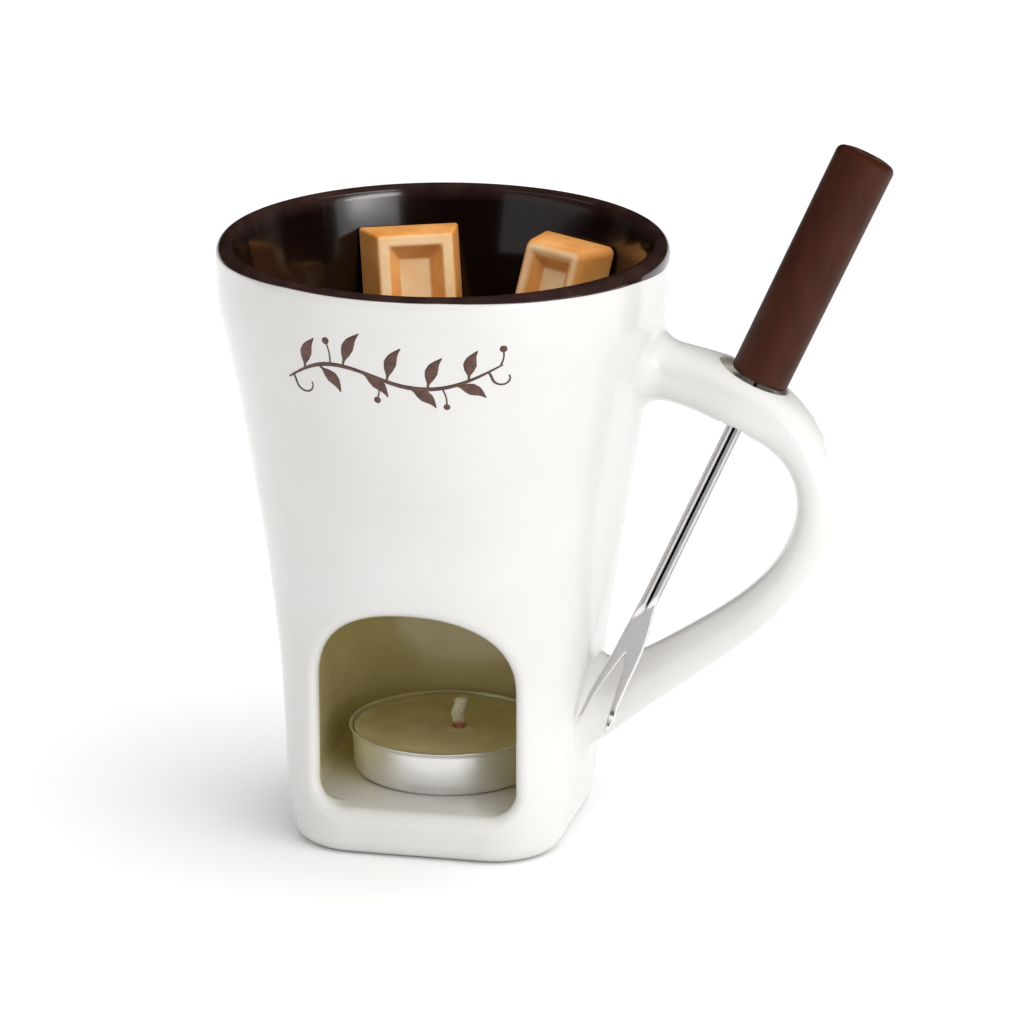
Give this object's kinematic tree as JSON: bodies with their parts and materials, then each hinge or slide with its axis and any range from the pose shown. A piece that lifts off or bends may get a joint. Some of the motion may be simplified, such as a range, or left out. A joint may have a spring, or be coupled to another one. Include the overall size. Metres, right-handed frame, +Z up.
{
  "type": "fondue mug set",
  "caption": "Ceramic fondue mug with a bowl over an arched candle chamber, a tealight, a dipping fork standing in a hole in the handle, and chocolate strips in the bowl.",
  "frame": {"origin": "centre of the foot's underside, which the mug stands on", "axes": "+Z up the mug's axis, -Y out through the candle chamber's window, +X towards the handle"},
  "size_m": [0.1275, 0.086, 0.1365],
  "materials": {
    "white_glaze": "smooth white gloss glaze",
    "brown_glaze": "very dark brown gloss glaze",
    "fork_steel": "bright folded sheet steel",
    "fork_grip": "dark red-brown satin lacquer",
    "cup_aluminium": "thin pressed sheet",
    "wax": "pale translucent candle wax",
    "wick": "waxed braided cotton",
    "sustainer_tin": "tinned sheet",
    "caramel_chocolate": "satin moulded caramel chocolate"
  },
  "bodies": {
    "mug": {"mug_body": "white_glaze", "mug_handle": "white_glaze", "interior_glaze": "brown_glaze"},
    "fork": {"fork_prong": "fork_steel", "fork_grip": "fork_grip"},
    "tealight": {"tealight_cup": "cup_aluminium", "tealight_wax": "wax", "tealight_wick": "wick", "wick_sustainer": "sustainer_tin"},
    "strip_left": {"chocolate_strip_left": "caramel_chocolate"},
    "strip_right": {"chocolate_strip_right": "caramel_chocolate"}
  },
  "joints": [
    {"name": "fork_lift", "type": "slide", "parent": "mug", "child": "fork", "axis": [0.3978, 0.192, 0.8971], "range_m": [0, 0.1]},
    {"name": "tealight_slide", "type": "slide", "parent": "mug", "child": "tealight", "axis": [0, -0.9962, 0.0872], "range_m": [0, 0.07]},
    {"name": "strip_left_lift", "type": "slide", "parent": "mug", "child": "strip_left", "axis": [0, 0, 1], "range_m": [0, 0.06]},
    {"name": "strip_right_lift", "type": "slide", "parent": "mug", "child": "strip_right", "axis": [0, 0, 1], "range_m": [0, 0.06]}
  ]
}
